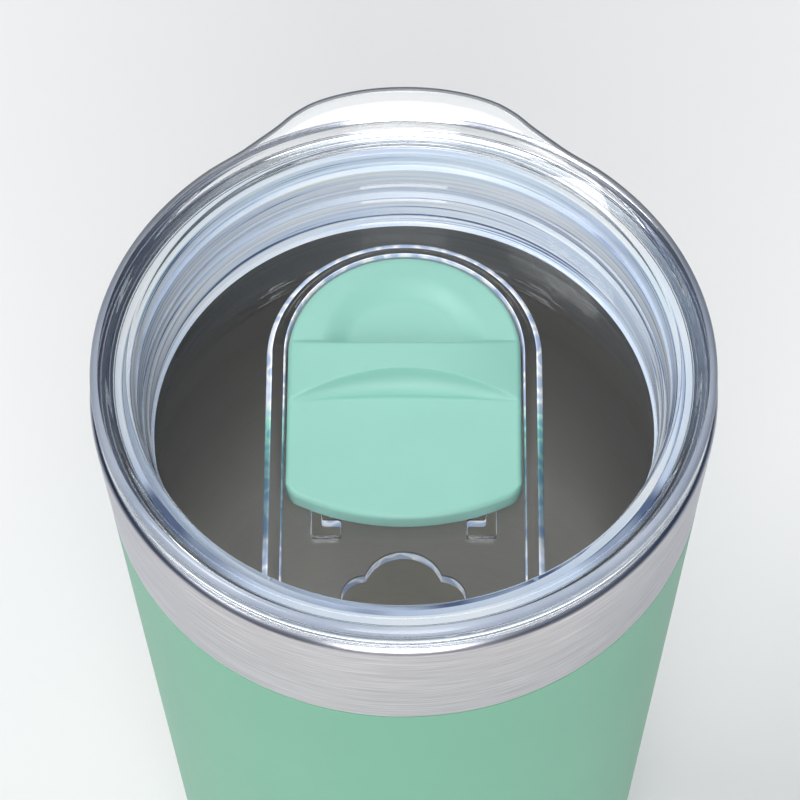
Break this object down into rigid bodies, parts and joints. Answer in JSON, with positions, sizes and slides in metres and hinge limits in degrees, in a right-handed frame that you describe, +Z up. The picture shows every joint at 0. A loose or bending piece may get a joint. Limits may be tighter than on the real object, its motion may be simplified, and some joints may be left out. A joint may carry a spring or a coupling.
{
  "type": "insulated tumbler with slide lid",
  "caption": "Double-wall steel tumbler, tapered and colour coated, with a bare steel band and a clear push-in lid with a sliding closure and a pull tab.",
  "frame": {"origin": "centre of the foot, on the plane it stands on", "axes": "+Z up along the cup's axis; the drinking hole is on the -Y side and the lid's pull tab on the +Y side"},
  "size_m": [0.0904, 0.095, 0.1698],
  "materials": {
    "brushed_steel": "bare stainless steel, brushed round the cup",
    "inner_steel": "satin stainless steel",
    "mint_coat": "satin mint powder coat, a plastic layer on the steel wall, with a fine grain",
    "seal_glass": "fused solder glass",
    "getter_metal": "pressed metal powder",
    "clear_plastic": "clear polished plastic",
    "clear_silicone": "clear silicone rubber",
    "mint_plastic": "satin mint green plastic"
  },
  "bodies": {
    "cup": {"outer_shell": "brushed_steel", "colour_coat": "mint_coat", "inner_liner": "inner_steel", "base_cap": "inner_steel", "seal_bead": "seal_glass", "base_cover": "brushed_steel", "getter_holder": "inner_steel", "getter": "getter_metal"},
    "lid": {"lid_body": "clear_plastic", "lid_gasket": "clear_silicone"},
    "slider": {"slider": "mint_plastic"}
  },
  "joints": [
    {"name": "lid_lift", "type": "slide", "parent": "cup", "child": "lid", "axis": [0, 0, 1], "range_m": [0, 0.05]},
    {"name": "slider_slide", "type": "slide", "parent": "lid", "child": "slider", "axis": [0, -1, 0], "range_m": [0, 0.017]}
  ]
}
